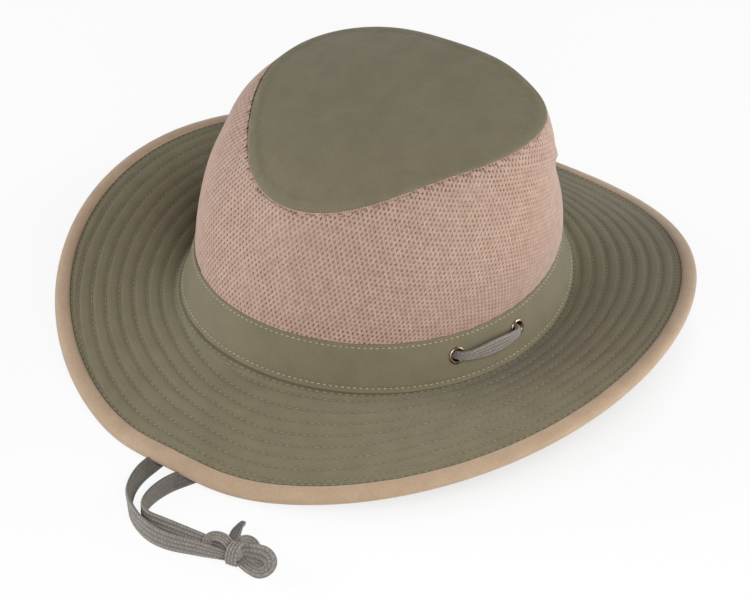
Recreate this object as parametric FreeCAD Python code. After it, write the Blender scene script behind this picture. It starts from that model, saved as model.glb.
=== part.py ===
import FreeCAD, Part
import math
import os
from FreeCAD import Vector

# A wide-brimmed outdoor sun hat resting on its brim. Millimetres, +Z up, front towards -Y,
# the wearer's left towards +X, X = 0 through the middle, origin on the table under the head.
# A turn is the angle round the head: 0 at the front, 90 at the wearer's left, 180 at the back.
# A wave is a size that changes round the hat: a level, then the strength of its cosines and
# sines at 1, 2, 3... times the turn. A height is measured up from the head seam, where the
# crown meets the brim, and an inset runs level into the head from the band's outer face.

# head seam
HEAD_HALF_LENGTH = 103.2
HEAD_FORWARD = 1.9
HEAD_HALF_WIDTH = 91.7
SEAM_LEVEL = 22.7
SEAM_WAVE = (0.8, 2.3)

# brim
BRIM_WIDTH = 60.5
BRIM_WIDTH_WAVE = (-0.5, -1.7, -1.4)
BRIM_CLOTH = 0.8
BRIM_CORE = 1.4
EDGE_LIFT = 17.0
EDGE_LIFT_WAVE = (-0.9, -15.9, 0.6, -0.6)
EDGE_LIFT_SWAY = (0.9, -3.7, 1.6)
BRIM_BELLY = 1.5
BRIM_BELLY_WAVE = (0.6, -2.2)
SETTLE_SOFTNESS = 1.0
BINDING_WIDTH = 7.2
BINDING_TAPE = 0.5
BINDING_ROUNDING = 0.9

# where the front of the brim bridges the two strands of cord that lie under it
ARCH_HEIGHT = 4.4
ARCH_TURN = 5.7
ARCH_SPREAD = 10.0

# band, lining and sweatband
BAND_HEIGHT = 24.0
BAND_TAPER = 7.5
BAND_TAPER_WAVE = (0.0, 0.8)
BAND_CLOTH = 1.2
LINING_CLOTH = 0.8
CORD_CHANNEL = 3.4
SWEATBAND_WIDTH = 30.0
SWEATBAND_CLOTH = 1.6

# mesh side wall and its tapes
MESH_CLOTH = 0.8
MESH_TUCK = 5.0
WALL_PUFF = 5.0
WALL_PUFF_WAVE = (0.0, -4.0)
WALL_PUFF_SWAY = (-2.4,)
SEAM_TAPE = 0.5
TIP_TAPE_WIDTH = 6.0
BACK_TAPE_WIDTH = 10.0
TAPE_GAP = 0.5

# tip, the teardrop panel that closes the crown
TIP_RADIUS = 66.5
TIP_RADIUS_WAVE = (-1.1, -3.5, 6.6, -1.0)
TIP_RADIUS_SWAY = (0.6, -0.8, 1.8)
TIP_SETBACK = 1.6
TIP_LEVEL = 115.7
TIP_TILT = 13.5
TIP_LEAN = 2.8
TIP_WARP_WAVE = (0.0, -0.8, -2.1)
TIP_WARP_SWAY = (0.0, 0.6)
TIP_DOME = 7.0
TIP_CLOTH = 1.0

# eyelets, two on each side, and the buttonholes behind the front ones
FRONT_EYELET_TURN = 68.9
REAR_EYELET_TURN = 90.3
EYELET_HEIGHT = 14.0
EYELET_HOLE_RADIUS = 2.7
EYELET_WALL = 0.35
EYELET_FIT = 0.05
FLANGE_RADIUS = 4.4
FLANGE_RISE = 0.9
FLANGE_EDGE = 0.25
WASHER_THICKNESS = 0.5
WASHER_SEAT = 0.1
EYELET_CURL = 0.45
BUTTONHOLE_LENGTH = 11.0
BUTTONHOLE_HEIGHT = 6.5

# flat braided chin cord, here a plain round one; it runs free from the front eyelets
CORD_WIDTH = 8.0
CORD_THICKNESS = 2.2
CORD_ROUND = 3.8
CORD_EASE = 0.1
SPAN_BOW = 4.8
SPAN_SHOULDER = 3.4
RUN_OVERLAP = 5.0
TAIL_ROUND = 3.0
LEFT_ROUTE = (
    (79.0, -36.8, 34.4), (71.7, -34.3, 31.9), (63.8, -31.5, 26.0), (58.0, -28.3, 16.5),
    (52.0, -23.4, 7.5), (42.5, -19.4, 2.4), (29.0, -22.9, 2.0), (21.0, -38.9, 2.0),
    (26.0, -62.9, 2.0), (36.5, -86.9, 2.0), (38.0, -112.9, 2.0), (30.0, -135.9, 2.0),
    (23.5, -153.9, 2.0), (22.5, -168.9, 3.2), (27.5, -181.9, 4.0), (38.5, -187.6, 4.2),
    (52.0, -187.0, 4.5), (63.4, -183.5, 5.3), (73.9, -180.0, 5.5))
RIGHT_ROUTE = (
    (-79.0, -36.8, 34.4), (-71.7, -34.3, 31.9), (-63.6, -32.3, 26.0), (-57.2, -31.5, 16.5),
    (-50.5, -32.4, 7.5), (-41.0, -36.9, 2.4), (-32.0, -48.9, 2.0), (-29.0, -69.9, 2.0),
    (-24.0, -96.9, 2.0), (-9.0, -119.9, 2.0), (3.0, -139.9, 2.0), (6.5, -157.9, 2.0),
    (9.0, -173.9, 3.2), (17.0, -186.9, 4.0), (31.0, -194.4, 4.2), (46.5, -195.4, 4.3),
    (62.8, -188.1, 5.2), (75.1, -183.8, 5.5))
LOOP_ROUTE = (
    (84.0, -176.7, 5.5), (90.0, -174.2, 5.4), (96.2, -171.8, 4.8), (101.8, -175.1, 4.2),
    (100.2, -181.2, 4.2), (92.9, -180.6, 5.0), (85.0, -180.3, 5.5))
TAIL_ROUTE = (
    (79.0, -180.0, 7.5), (74.0, -176.0, 7.8), (70.5, -170.5, 6.0), (67.0, -165.0, 3.4),
    (63.5, -159.8, 2.0))
KNOT_ENDS = (Vector(74.5, -181.9, 6.4), Vector(85.3, -178.3, 6.4))
KNOT_END_RADIUS = 4.4
KNOT_TURNS = 3

STATIONS = 36
TURNS = [2 * math.pi * index / STATIONS for index in range(STATIONS)]
UP = Vector(0, 0, 1)
BRIM_THICKNESS = 2 * BRIM_CLOTH + BRIM_CORE
LINING_INSET = BAND_CLOTH + LINING_CLOTH
SWEATBAND_INSET = LINING_INSET + CORD_CHANNEL
CORD_INSET = LINING_INSET + WASHER_SEAT + WASHER_THICKNESS + EYELET_CURL + CORD_EASE
BARREL_RADIUS = EYELET_HOLE_RADIUS + EYELET_WALL
HOLE_RADIUS = BARREL_RADIUS + EYELET_FIT


def wave(turn, level, cosines=(), sines=()):
    swing = sum(size * math.cos(count * turn) for count, size in enumerate(cosines, 1))
    sway = sum(size * math.sin(count * turn) for count, size in enumerate(sines, 1))
    return level + swing + sway


def ring_curve(point_at):
    # a closed smooth curve round the hat; all share their parameters, so layers meet exactly
    curve = Part.BSplineCurve()
    knots = [index / STATIONS for index in range(STATIONS + 1)]
    curve.interpolate(Points=[point_at(turn) for turn in TURNS], PeriodicFlag=True, Parameters=knots)
    return curve


def ring_sheet(*point_ats, centre=None):
    # a smooth surface whose rows of poles are rings: straight across for two rows, and for
    # three or four bowed by the middle ones, as a Bezier curve is; it can start from a point
    rings = [ring_curve(point_at) for point_at in point_ats]
    pole_rows = [ring.getPoles() for ring in rings]
    if centre:
        pole_rows.insert(0, [centre] * len(pole_rows[0]))
    rows = len(pole_rows)
    surface = Part.BSplineSurface()
    surface.buildFromPolesMultsKnots(pole_rows, [rows, rows], rings[0].getMultiplicities(),
                                     [0, 1], rings[0].getKnots(), False, True, rows - 1, 3)
    return surface.toShape()


def sewn_solid(faces):
    skin = Part.makeCompound(faces)
    skin.sewShape()
    solid = Part.makeSolid(skin.Shells[0])
    return solid if solid.Volume > 0 else solid.reversed()


def closed_ring(point_ats):
    # a ring-shaped solid whose section is the polygon of these rings
    return sewn_solid([ring_sheet(here, there) for here, there in zip(point_ats, point_ats[1:] + point_ats[:1])])


def outward(turn):
    # level direction square to the head seam
    return Vector(HEAD_HALF_LENGTH * math.sin(turn), -HEAD_HALF_WIDTH * math.cos(turn), 0).normalize()


def seam_point(turn):
    return Vector(HEAD_HALF_WIDTH * math.sin(turn), -HEAD_FORWARD - HEAD_HALF_LENGTH * math.cos(turn),
                  wave(turn, SEAM_LEVEL, SEAM_WAVE))


# ---- brim


def rim_clearance(turn):
    # the sides curl up, the front and back settle on the table, and the front bridges the cord
    free = wave(turn, EDGE_LIFT, EDGE_LIFT_WAVE, EDGE_LIFT_SWAY)
    settled = (free + math.hypot(free, SETTLE_SOFTNESS)) / 2
    from_arch = (math.degrees(turn) - ARCH_TURN + 180) % 360 - 180
    return settled + ARCH_HEIGHT * math.exp(-(from_arch / ARCH_SPREAD) ** 2)


REST_CLEARANCE = min(rim_clearance(turn) for turn in TURNS)


def brim_reach(turn):
    return wave(turn, BRIM_WIDTH, BRIM_WIDTH_WAVE)


def rim_point(turn):
    # top of the cloth at the rim
    level = rim_clearance(turn) - REST_CLEARANCE + BINDING_TAPE + BRIM_THICKNESS
    rim = seam_point(turn) + outward(turn) * brim_reach(turn)
    return Vector(rim.x, rim.y, level)


def brim_belly(turn):
    # the middle of the brim stands this far above the straight line from seam to rim
    return wave(turn, BRIM_BELLY, BRIM_BELLY_WAVE)


def brim_point(turn, out, below=0.0):
    # a place on the brim's top face, out from the head seam, or that far below it
    share = out / brim_reach(turn)
    straight = seam_point(turn) + (rim_point(turn) - seam_point(turn)) * share
    return straight + UP * (4 * brim_belly(turn) * share * (1 - share) - below)


def brim_layer(below, thickness):
    def inner(turn):
        return brim_point(turn, -LINING_INSET, below)

    def outer(turn):
        return brim_point(turn, brim_reach(turn), below)

    def bow(turn):
        spread = 1 + LINING_INSET / brim_reach(turn)
        return (inner(turn) + outer(turn)) / 2 + UP * 2 * brim_belly(turn) * spread ** 2

    return ring_sheet(inner, bow, outer).extrude(Vector(0, 0, -thickness))


def brim_binding(brim):
    # tape folded round the rim, with rounded corners
    def corner(back_from_rim, above_top):
        out = BINDING_TAPE - back_from_rim
        return lambda turn: brim_point(turn, brim_reach(turn) + out, -above_top)

    lowest = -BRIM_THICKNESS - BINDING_TAPE
    block = closed_ring([
        corner(BINDING_WIDTH, BINDING_TAPE),
        corner(BINDING_ROUNDING, BINDING_TAPE),
        corner(0, BINDING_TAPE - BINDING_ROUNDING),
        corner(0, lowest + BINDING_ROUNDING),
        corner(BINDING_ROUNDING, lowest),
        corner(BINDING_WIDTH, lowest)])
    return block.cut(brim)


# ---- band, lining, sweatband


def wall_lean(turn):
    return wave(turn, BAND_TAPER, BAND_TAPER_WAVE) / BAND_HEIGHT


def wall_point(turn, height, inset=0.0):
    return seam_point(turn) - outward(turn) * (wall_lean(turn) * height + inset) + UP * height


def wall_ring(inset, thickness, low, high):
    corners = ((inset, low), (inset, high), (inset + thickness, high), (inset + thickness, low))
    return closed_ring([lambda turn, depth=depth, height=height: wall_point(turn, height, depth)
                        for depth, height in corners])


# ---- crown


def tip_point(turn, reach, warp, drop):
    # the tip's middle, level and tilted out by a share of its radius, then warped and rolled down
    radius = reach * wave(turn, TIP_RADIUS, TIP_RADIUS_WAVE, TIP_RADIUS_SWAY)
    tilt = reach * (TIP_LEAN * math.sin(turn) - TIP_TILT * math.cos(turn))
    rise = tilt + warp * wave(turn, 0, TIP_WARP_WAVE, TIP_WARP_SWAY) + TIP_DOME * (1 - drop)
    return Vector(radius * math.sin(turn), -HEAD_FORWARD - TIP_SETBACK - radius * math.cos(turn),
                  TIP_LEVEL + rise)


def tip_seam(turn):
    return tip_point(turn, 1, 1, 1)


def crown_tip():
    # tilt grows with the distance from the middle, the warp with its square, the roll with its cube
    sheet = ring_sheet(lambda turn: tip_point(turn, 1 / 3, 0, 0),
                       lambda turn: tip_point(turn, 2 / 3, 1 / 3, 0),
                       tip_seam, centre=tip_point(0, 0, 0, 0))
    return sheet.extrude(Vector(0, 0, -TIP_CLOTH))


def side_puff(turn):
    # the middle of the mesh wall stands this far outside the straight line from band to tip
    return wave(turn, WALL_PUFF, WALL_PUFF_WAVE, WALL_PUFF_SWAY)


def side_point(turn, share, depth):
    # the mesh wall, from the top of the band, share 0, up to the tip seam, share 1
    foot = wall_point(turn, BAND_HEIGHT, BAND_CLOTH)
    head = tip_seam(turn) - UP * TIP_CLOTH
    puff = 4 * share * (1 - share) * side_puff(turn)
    return foot + (head - foot) * share + outward(turn) * (puff - depth)


def side_wall(depth, thickness):
    # tucked behind the band at its foot, then free up to the tip
    def tuck(inset):
        return lambda turn: wall_point(turn, BAND_HEIGHT - MESH_TUCK, BAND_CLOTH + inset)

    def foot(inset):
        return lambda turn: side_point(turn, 0, inset)

    def bow(inset):
        return lambda turn: ((side_point(turn, 0, inset) + side_point(turn, 1, inset)) / 2
                             + outward(turn) * 2 * side_puff(turn))

    def head(inset):
        return lambda turn: side_point(turn, 1, inset)

    inner = depth + thickness
    return sewn_solid([
        ring_sheet(tuck(depth), foot(depth)), ring_sheet(foot(depth), bow(depth), head(depth)),
        ring_sheet(head(depth), head(inner)), ring_sheet(foot(inner), bow(inner), head(inner)),
        ring_sheet(tuck(inner), foot(inner)), ring_sheet(tuck(depth), tuck(inner))])


def under_tip(turn, drop, depth):
    # a place in the mesh wall, that far below the tip seam
    wall_rise = side_point(turn, 1, 0).z - side_point(turn, 0, 0).z
    return side_point(turn, 1 - drop / wall_rise, depth)


def tip_seam_tape(mesh):
    # covers the seam allowances where the side wall meets the tip
    def corner(drop, depth):
        return lambda turn: under_tip(turn, drop, depth)

    face = MESH_CLOTH + SEAM_TAPE
    middle = MESH_CLOTH / 2
    block = closed_ring([corner(0, middle), corner(TIP_TAPE_WIDTH, middle),
                         corner(TIP_TAPE_WIDTH, face), corner(0, face)])
    return block.cut(mesh)


def back_seam_tape(mesh):
    # covers the upright seam that closes the mesh at the back, up to the tape under the tip
    half_cloth = MESH_CLOTH / 2
    layer = side_wall(half_cloth, half_cloth + SEAM_TAPE)
    top = under_tip(math.pi, TIP_TAPE_WIDTH + TAPE_GAP, MESH_CLOTH).z
    strip = Part.makeBox(BACK_TAPE_WIDTH, HEAD_HALF_LENGTH, top, Vector(-BACK_TAPE_WIDTH / 2, 0, 0))
    return layer.common(strip).cut(mesh)


# ---- eyelets


def eyelet_frame(turn_degrees, side):
    # the place on the band's face and the direction square out of it
    turn = math.radians(turn_degrees) * side
    return wall_point(turn, EYELET_HEIGHT), (outward(turn) + UP * wall_lean(turn)).normalize()


def square_depth(turn_degrees, side, inset):
    # how deep a level inset lies along the eyelet's own axis
    return inset / math.hypot(1, wall_lean(math.radians(turn_degrees) * side))


def on_axis(shape, place, axis):
    return shape.transformed(FreeCAD.Placement(place, FreeCAD.Rotation(UP, axis)).toMatrix())


def revolved(outline):
    return Part.Face(Part.Wire(outline)).revolve(Vector(0, 0, 0), UP, 360)


def line(start, end):
    return Part.LineSegment(Vector(start[0], 0, start[1]), Vector(end[0], 0, end[1])).toShape()


def arc(start, middle, end):
    ends = [Vector(radius, 0, height) for radius, height in (start, middle, end)]
    return Part.Arc(*ends).toShape()


def eyelet(depth):
    # rolled flange on the face, barrel through the cloth, end curled over the washer
    lip = BARREL_RADIUS + 2 * EYELET_CURL
    inner_end = (EYELET_HOLE_RADIUS, -depth - EYELET_CURL)
    crest = (EYELET_HOLE_RADIUS, FLANGE_EDGE)
    rim = (FLANGE_RADIUS, FLANGE_EDGE)
    return revolved([
        line(inner_end, crest),
        arc(crest, ((EYELET_HOLE_RADIUS + FLANGE_RADIUS) / 2, FLANGE_RISE), rim),
        line(rim, (FLANGE_RADIUS, 0)),
        line((FLANGE_RADIUS, 0), (BARREL_RADIUS, 0)),
        line((BARREL_RADIUS, 0), (BARREL_RADIUS, -depth)),
        line((BARREL_RADIUS, -depth), (lip, -depth)),
        arc((lip, -depth), (lip - 0.3 * EYELET_CURL, -depth - 0.7 * EYELET_CURL),
            (lip - EYELET_CURL, -depth - EYELET_CURL)),
        line((lip - EYELET_CURL, -depth - EYELET_CURL), inner_end)])


def washer(depth):
    ring = Part.makeCylinder(FLANGE_RADIUS, WASHER_THICKNESS, Vector(0, 0, -depth))
    return ring.cut(Part.makeCylinder(HOLE_RADIUS, WASHER_THICKNESS, Vector(0, 0, -depth)))


EYELET_SPOTS = [(turn, side) for side in (1, -1) for turn in (FRONT_EYELET_TURN, REAR_EYELET_TURN)]


def punch_holes(cloth, radius):
    for turn, side in EYELET_SPOTS:
        place, axis = eyelet_frame(turn, side)
        punch = Part.makeCylinder(radius, 2 * SWEATBAND_INSET, Vector(0, 0, -SWEATBAND_INSET))
        cloth = cloth.cut(on_axis(punch, place, axis))
    return cloth


def set_eyelets():
    eyelets = []
    washers = []
    for turn, side in EYELET_SPOTS:
        place, axis = eyelet_frame(turn, side)
        clinch = square_depth(turn, side, LINING_INSET) + WASHER_SEAT + WASHER_THICKNESS
        eyelets.append(on_axis(eyelet(clinch), place, axis))
        washers.append(on_axis(washer(clinch), place, axis))
    return Part.makeCompound(eyelets), Part.makeCompound(washers)


def buttonholes(cloth):
    # worked slots in the sweatband where the cord hangs into the hat
    for side in (1, -1):
        place, axis = eyelet_frame(FRONT_EYELET_TURN, side)
        half_gap = (BUTTONHOLE_LENGTH - BUTTONHOLE_HEIGHT) / 2
        along = axis.cross(UP).normalize()
        ends = [on_axis(Part.makeCylinder(BUTTONHOLE_HEIGHT / 2, 3 * SWEATBAND_INSET), place + along * shift,
                        -axis) for shift in (-half_gap, half_gap)]
        middle = on_axis(Part.makeBox(BUTTONHOLE_HEIGHT, 2 * half_gap, 3 * SWEATBAND_INSET,
                                      Vector(-BUTTONHOLE_HEIGHT / 2, -half_gap, 0)), place, -axis)
        cloth = cloth.cut(ends[0]).cut(ends[1]).cut(middle)
    return cloth


# ---- chin cord


def span_route(side):
    # from behind the front eyelet, out and along the band in a bow, and in at the rear eyelet
    front = math.radians(FRONT_EYELET_TURN) * side
    rear = math.radians(REAR_EYELET_TURN) * side
    inner = square_depth(FRONT_EYELET_TURN, side, CORD_INSET)
    stops = ((0, -inner), (0, SPAN_SHOULDER), (0.3, SPAN_BOW), (0.7, SPAN_BOW), (1, SPAN_SHOULDER), (1, -inner))
    route = []
    for along, stand_off in stops:
        turn = front + (rear - front) * along
        square = (outward(turn) + UP * wall_lean(turn)).normalize()
        route.append(wall_point(turn, EYELET_HEIGHT) + square * stand_off)
    return route


def cord_back_run():
    # lies in the channel behind the lining, from one rear eyelet round the back to the other
    half = CORD_WIDTH / 2
    ring = wall_ring(CORD_INSET, CORD_THICKNESS, EYELET_HEIGHT - half, EYELET_HEIGHT + half)
    start = eyelet_frame(REAR_EYELET_TURN, 1)[0].y - RUN_OVERLAP
    rear_part = Part.makeBox(2 * HEAD_HALF_WIDTH, 2 * HEAD_HALF_LENGTH, TIP_LEVEL,
                             Vector(-HEAD_HALF_WIDTH, start, 0))
    return ring.common(rear_part)


def cord_path(name, route):
    # straight runs joined by tangent arcs
    points = [Vector(*place) for place in route]
    edges = []
    radii = []
    start = points[0]
    for before, corner, after in zip(points, points[1:], points[2:]):
        heading = (corner - before).normalize()
        leaving = (after - corner).normalize()
        trim = 0.45 * min(corner.distanceToPoint(before), corner.distanceToPoint(after))
        half_turn = heading.getAngle(leaving) / 2
        radius = trim / math.tan(half_turn)
        bulge = radius / math.cos(half_turn) - radius
        first = corner - heading * trim
        last = corner + leaving * trim
        edges.append(Part.LineSegment(start, first).toShape())
        edges.append(Part.Arc(first, corner + (leaving - heading).normalize() * bulge, last).toShape())
        radii.append(radius)
        start = last
    edges.append(Part.LineSegment(start, points[-1]).toShape())
    wire = Part.Wire(edges)
    print(f"{name}: length {wire.Length:.1f}, radii", [round(radius, 1) for radius in radii])
    return wire


def cord_tube(name, route, diameter):
    path = cord_path(name, route)
    heading = Vector(*route[1]) - Vector(*route[0])
    circle = Part.Wire([Part.Circle(Vector(*route[0]), heading, diameter / 2).toShape()])
    tube = path.makePipeShell([circle], True, True)
    full = math.pi * diameter ** 2 / 4 * path.Length
    print(f"{name}: volume {tube.Volume:.0f} of {full:.0f}")
    return tube


def cord_knot():
    # turns of braid side by side round the bundled strands, with a flat face at each end
    start, end = KNOT_ENDS
    length = start.distanceToPoint(end)
    pitch = length / KNOT_TURNS
    outline = [line((0, length), (0, 0)), line((0, 0), (KNOT_END_RADIUS, 0))]
    for index in range(KNOT_TURNS):
        low = index * pitch
        outline.append(arc((KNOT_END_RADIUS, low), (KNOT_END_RADIUS + pitch / 2, low + pitch / 2),
                           (KNOT_END_RADIUS, low + pitch)))
    outline.append(line((KNOT_END_RADIUS, length), (0, length)))
    return on_axis(revolved(outline), start, end - start)


# ---- the hat


def build_nodes():
    nodes = {}
    nodes["brim_top"] = brim_layer(0, BRIM_CLOTH)
    nodes["brim_core"] = brim_layer(BRIM_CLOTH, BRIM_CORE)
    nodes["brim_under"] = brim_layer(BRIM_CLOTH + BRIM_CORE, BRIM_CLOTH)
    brim = Part.makeCompound(list(nodes.values()))
    nodes["brim_binding"] = brim_binding(brim)

    below_seam = -BRIM_CLOTH
    band = punch_holes(wall_ring(0, BAND_CLOTH, below_seam, BAND_HEIGHT).cut(brim), HOLE_RADIUS)
    lining_top = BAND_HEIGHT - MESH_TUCK
    lining = wall_ring(BAND_CLOTH, LINING_CLOTH, below_seam, lining_top).cut(brim)
    lining = punch_holes(lining, HOLE_RADIUS)
    nodes["hat_band"] = band
    nodes["band_lining"] = lining
    sweatband = wall_ring(SWEATBAND_INSET, SWEATBAND_CLOTH, -BRIM_THICKNESS, SWEATBAND_WIDTH - BRIM_THICKNESS)
    nodes["sweatband"] = buttonholes(sweatband)
    seam_roll = wall_ring(BAND_CLOTH, SWEATBAND_INSET - BAND_CLOTH, -BRIM_THICKNESS, 0)
    nodes["head_seam_roll"] = seam_roll.cut(brim).cut(lining)

    nodes["crown_mesh"] = side_wall(0, MESH_CLOTH)
    nodes["crown_tip"] = crown_tip()
    nodes["tip_seam_tape"] = tip_seam_tape(nodes["crown_mesh"])
    nodes["back_seam_tape"] = back_seam_tape(nodes["crown_mesh"])

    nodes["eyelets"], nodes["eyelet_washers"] = set_eyelets()
    nodes["cord_back_run"] = cord_back_run()
    nodes["cord_span_left"] = cord_tube("cord_span_left", span_route(1), CORD_ROUND)
    nodes["cord_span_right"] = cord_tube("cord_span_right", span_route(-1), CORD_ROUND)
    nodes["chin_cord_left"] = cord_tube("chin_cord_left", LEFT_ROUTE, CORD_ROUND)
    nodes["chin_cord_right"] = cord_tube("chin_cord_right", RIGHT_ROUTE, CORD_ROUND)
    nodes["cord_knot"] = cord_knot()
    nodes["cord_loop"] = cord_tube("cord_loop", LOOP_ROUTE, CORD_ROUND).cut(nodes["cord_knot"])
    nodes["cord_tail"] = cord_tube("cord_tail", TAIL_ROUTE, TAIL_ROUND).cut(nodes["cord_knot"])
    return nodes


os.makedirs("parts", exist_ok=True)
for node_name, node_shape in build_nodes().items():
    node_shape.exportStep(f"parts/{node_name}.step")
    print(node_name, len(node_shape.Solids), node_shape.isValid(), round(node_shape.Volume))
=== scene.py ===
import math
from functools import lru_cache

import bmesh
import bpy
from mathutils import Matrix, Vector, noise


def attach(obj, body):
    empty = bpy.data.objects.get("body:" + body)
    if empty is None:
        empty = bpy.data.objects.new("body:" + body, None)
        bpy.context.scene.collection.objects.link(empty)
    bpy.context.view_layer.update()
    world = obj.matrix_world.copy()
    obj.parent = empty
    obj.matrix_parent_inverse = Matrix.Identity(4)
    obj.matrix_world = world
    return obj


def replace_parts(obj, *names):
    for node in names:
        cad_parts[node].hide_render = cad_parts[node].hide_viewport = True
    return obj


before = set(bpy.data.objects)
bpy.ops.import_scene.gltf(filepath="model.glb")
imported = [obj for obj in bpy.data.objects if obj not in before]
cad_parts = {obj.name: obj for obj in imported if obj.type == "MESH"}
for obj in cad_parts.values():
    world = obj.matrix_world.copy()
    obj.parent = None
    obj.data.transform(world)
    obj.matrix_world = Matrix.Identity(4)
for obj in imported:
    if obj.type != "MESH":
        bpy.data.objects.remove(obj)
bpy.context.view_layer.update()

# A wide-brimmed sun hat: mesh-sided crown, quilted brim, chin cord. Shapes are worked out in
# millimetres and written to the meshes in metres. A turn is the angle round the head, 0 at
# the front and 90 degrees at the wearer's left; a wave is a size that changes round the hat.
mm = 0.001
up = Vector((0, 0, 1))


def wave(turn, level, cosines=(), sines=()):
    swing = sum(size * math.cos(count * turn) for count, size in enumerate(cosines, 1))
    sway = sum(size * math.sin(count * turn) for count, size in enumerate(sines, 1))
    return level + swing + sway


def smooth(share):
    share = min(max(share, 0), 1)
    return share * share * (3 - 2 * share)


def bump(distance, spread):
    return math.exp(-(distance / spread) ** 2)


def degreesFromFront(turn):
    return (math.degrees(turn) + 180) % 360 - 180


# The hat's form


head = {"halfLength": 103.2, "halfWidth": 91.7, "forward": 1.9, "level": 22.7, "wave": (0.8, 2.3)}

brim = {
    "width": 60.5, "widthWave": (-0.5, -1.7, -1.4),
    "lift": 17.0, "liftWave": (-0.9, -15.9, 0.6, -0.6), "liftSway": (0.9, -3.7, 1.6),
    "settle": 1.0, "archHeight": 4.4, "archTurn": 5.7, "archSpread": 10.0,
    "belly": 1.5, "bellyWave": (0.6, -2.2),
    "cloth": 0.8, "core": 1.4, "tape": 0.5, "bindingWidth": 7.2, "turnUp": 3.6,
    "sewnIn": 1.8, "clothOver": 1.4,
}
brim["thickness"] = 2 * brim["cloth"] + brim["core"]

wall = {"height": 24.0, "taper": 7.5, "taperWave": (0.0, 0.8), "cloth": 1.2, "lining": 0.8,
        "channel": 3.4, "sweatband": 1.6, "sweatbandWidth": 30.0, "sweatbandRow": 3}
wall["sweatbandInset"] = wall["cloth"] + wall["lining"] + wall["channel"]

crown = {"cloth": 0.8, "tuck": 5.0, "puff": 5.0, "puffWave": (0.0, -4.0), "puffSway": (-2.4,)}

tip = {
    "radius": 66.5, "radiusWave": (-1.1, -3.5, 6.6, -1.0), "radiusSway": (0.6, -0.8, 1.8),
    "setback": 1.6, "level": 115.7, "tilt": 13.5, "lean": 2.8, "warpWave": (0.0, -0.8, -2.1),
    "warpSway": (0.0, 0.6), "dome": 7.0, "cloth": 1.0, "corner": 1.8,
}


@lru_cache(maxsize=None)
def outward(turn):
    return Vector((head["halfLength"] * math.sin(turn), -head["halfWidth"] * math.cos(turn), 0)).normalized()


@lru_cache(maxsize=None)
def seamPoint(turn):
    return Vector((head["halfWidth"] * math.sin(turn),
                   -head["forward"] - head["halfLength"] * math.cos(turn),
                   wave(turn, head["level"], head["wave"])))


def rimClearance(turn):
    free = wave(turn, brim["lift"], brim["liftWave"], brim["liftSway"])
    settled = (free + math.hypot(free, brim["settle"])) / 2
    return settled + brim["archHeight"] * bump(degreesFromFront(turn) - brim["archTurn"], brim["archSpread"])


restClearance = min(rimClearance(math.radians(10 * step)) for step in range(36))


@lru_cache(maxsize=None)
def brimReach(turn):
    return wave(turn, brim["width"], brim["widthWave"])


@lru_cache(maxsize=None)
def rimPoint(turn):
    rim = seamPoint(turn) + outward(turn) * brimReach(turn)
    rim.z = rimClearance(turn) - restClearance + brim["tape"] + brim["thickness"]
    return rim


@lru_cache(maxsize=None)
def brimBelly(turn):
    return wave(turn, brim["belly"], brim["bellyWave"])


def brimPoint(turn, out, above=0.0):
    # on the brim's top face, that far out from the head seam and above the cloth
    share = out / brimReach(turn)
    straight = seamPoint(turn).lerp(rimPoint(turn), share)
    return straight + up * (4 * brimBelly(turn) * share * (1 - share) + above)


@lru_cache(maxsize=None)
def bandFoot(turn):
    # how high up the wall the band's lower fold sits, where the brim's cloth turns up under it
    return wave(turn, 1.75, (0.3, 0.5), (-1.0,))


def quiltedPoint(turn, out, above=0.0):
    # on the brim's top cloth, which turns up towards the band
    rest = 1 - min(max(out, 0), brim["turnUp"]) / brim["turnUp"]
    return brimPoint(turn, out, above + bandFoot(turn) * rest ** 2)


def wallLean(turn):
    return wave(turn, wall["taper"], wall["taperWave"]) / wall["height"]


def wallFacing(turn):
    return (outward(turn) + up * wallLean(turn)).normalized()


def wallPoint(turn, height, inset=0.0):
    return seamPoint(turn) - outward(turn) * (wallLean(turn) * height + inset) + up * height


@lru_cache(maxsize=None)
def tipRim(turn):
    # radius, tilt and warp of the tip's edge at this turn; its back corner stands out a little
    degrees = degreesFromFront(turn)
    corner = tip["corner"] * (bump(degrees - 122, 13) - 0.6 * bump(degrees - 144, 10))
    return (wave(turn, tip["radius"], tip["radiusWave"], tip["radiusSway"]) + corner,
            tip["lean"] * math.sin(turn) - tip["tilt"] * math.cos(turn),
            wave(turn, 0, tip["warpWave"], tip["warpSway"]))


def tipPoint(turn, reach, above=0.0):
    radius, tilt, warp = tipRim(turn)
    rise = reach * tilt + reach ** 2 * warp + tip["dome"] * (1 - reach ** 3)
    return Vector((reach * radius * math.sin(turn),
                   -head["forward"] - tip["setback"] - reach * radius * math.cos(turn),
                   tip["level"] + rise + above))


def sidePoint(turn, share, inset=0.0):
    # the mesh wall, from the top of the band, share 0, up to the tip seam, share 1
    foot = wallPoint(turn, wall["height"], wall["cloth"])
    top = tipPoint(turn, 1, -tip["cloth"])
    puff = 4 * share * (1 - share) * wave(turn, crown["puff"], crown["puffWave"], crown["puffSway"])
    return foot.lerp(top, share) + outward(turn) * (puff - inset)


# Finishes


def tint(red, green, blue):
    # a screen colour, 0 to 255, as the shader wants it
    channels = [value / 255 for value in (red, green, blue)]
    linear = [value / 12.92 if value < 0.04 else ((value + 0.055) / 1.055) ** 2.4 for value in channels]
    return (*linear, 1)


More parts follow.
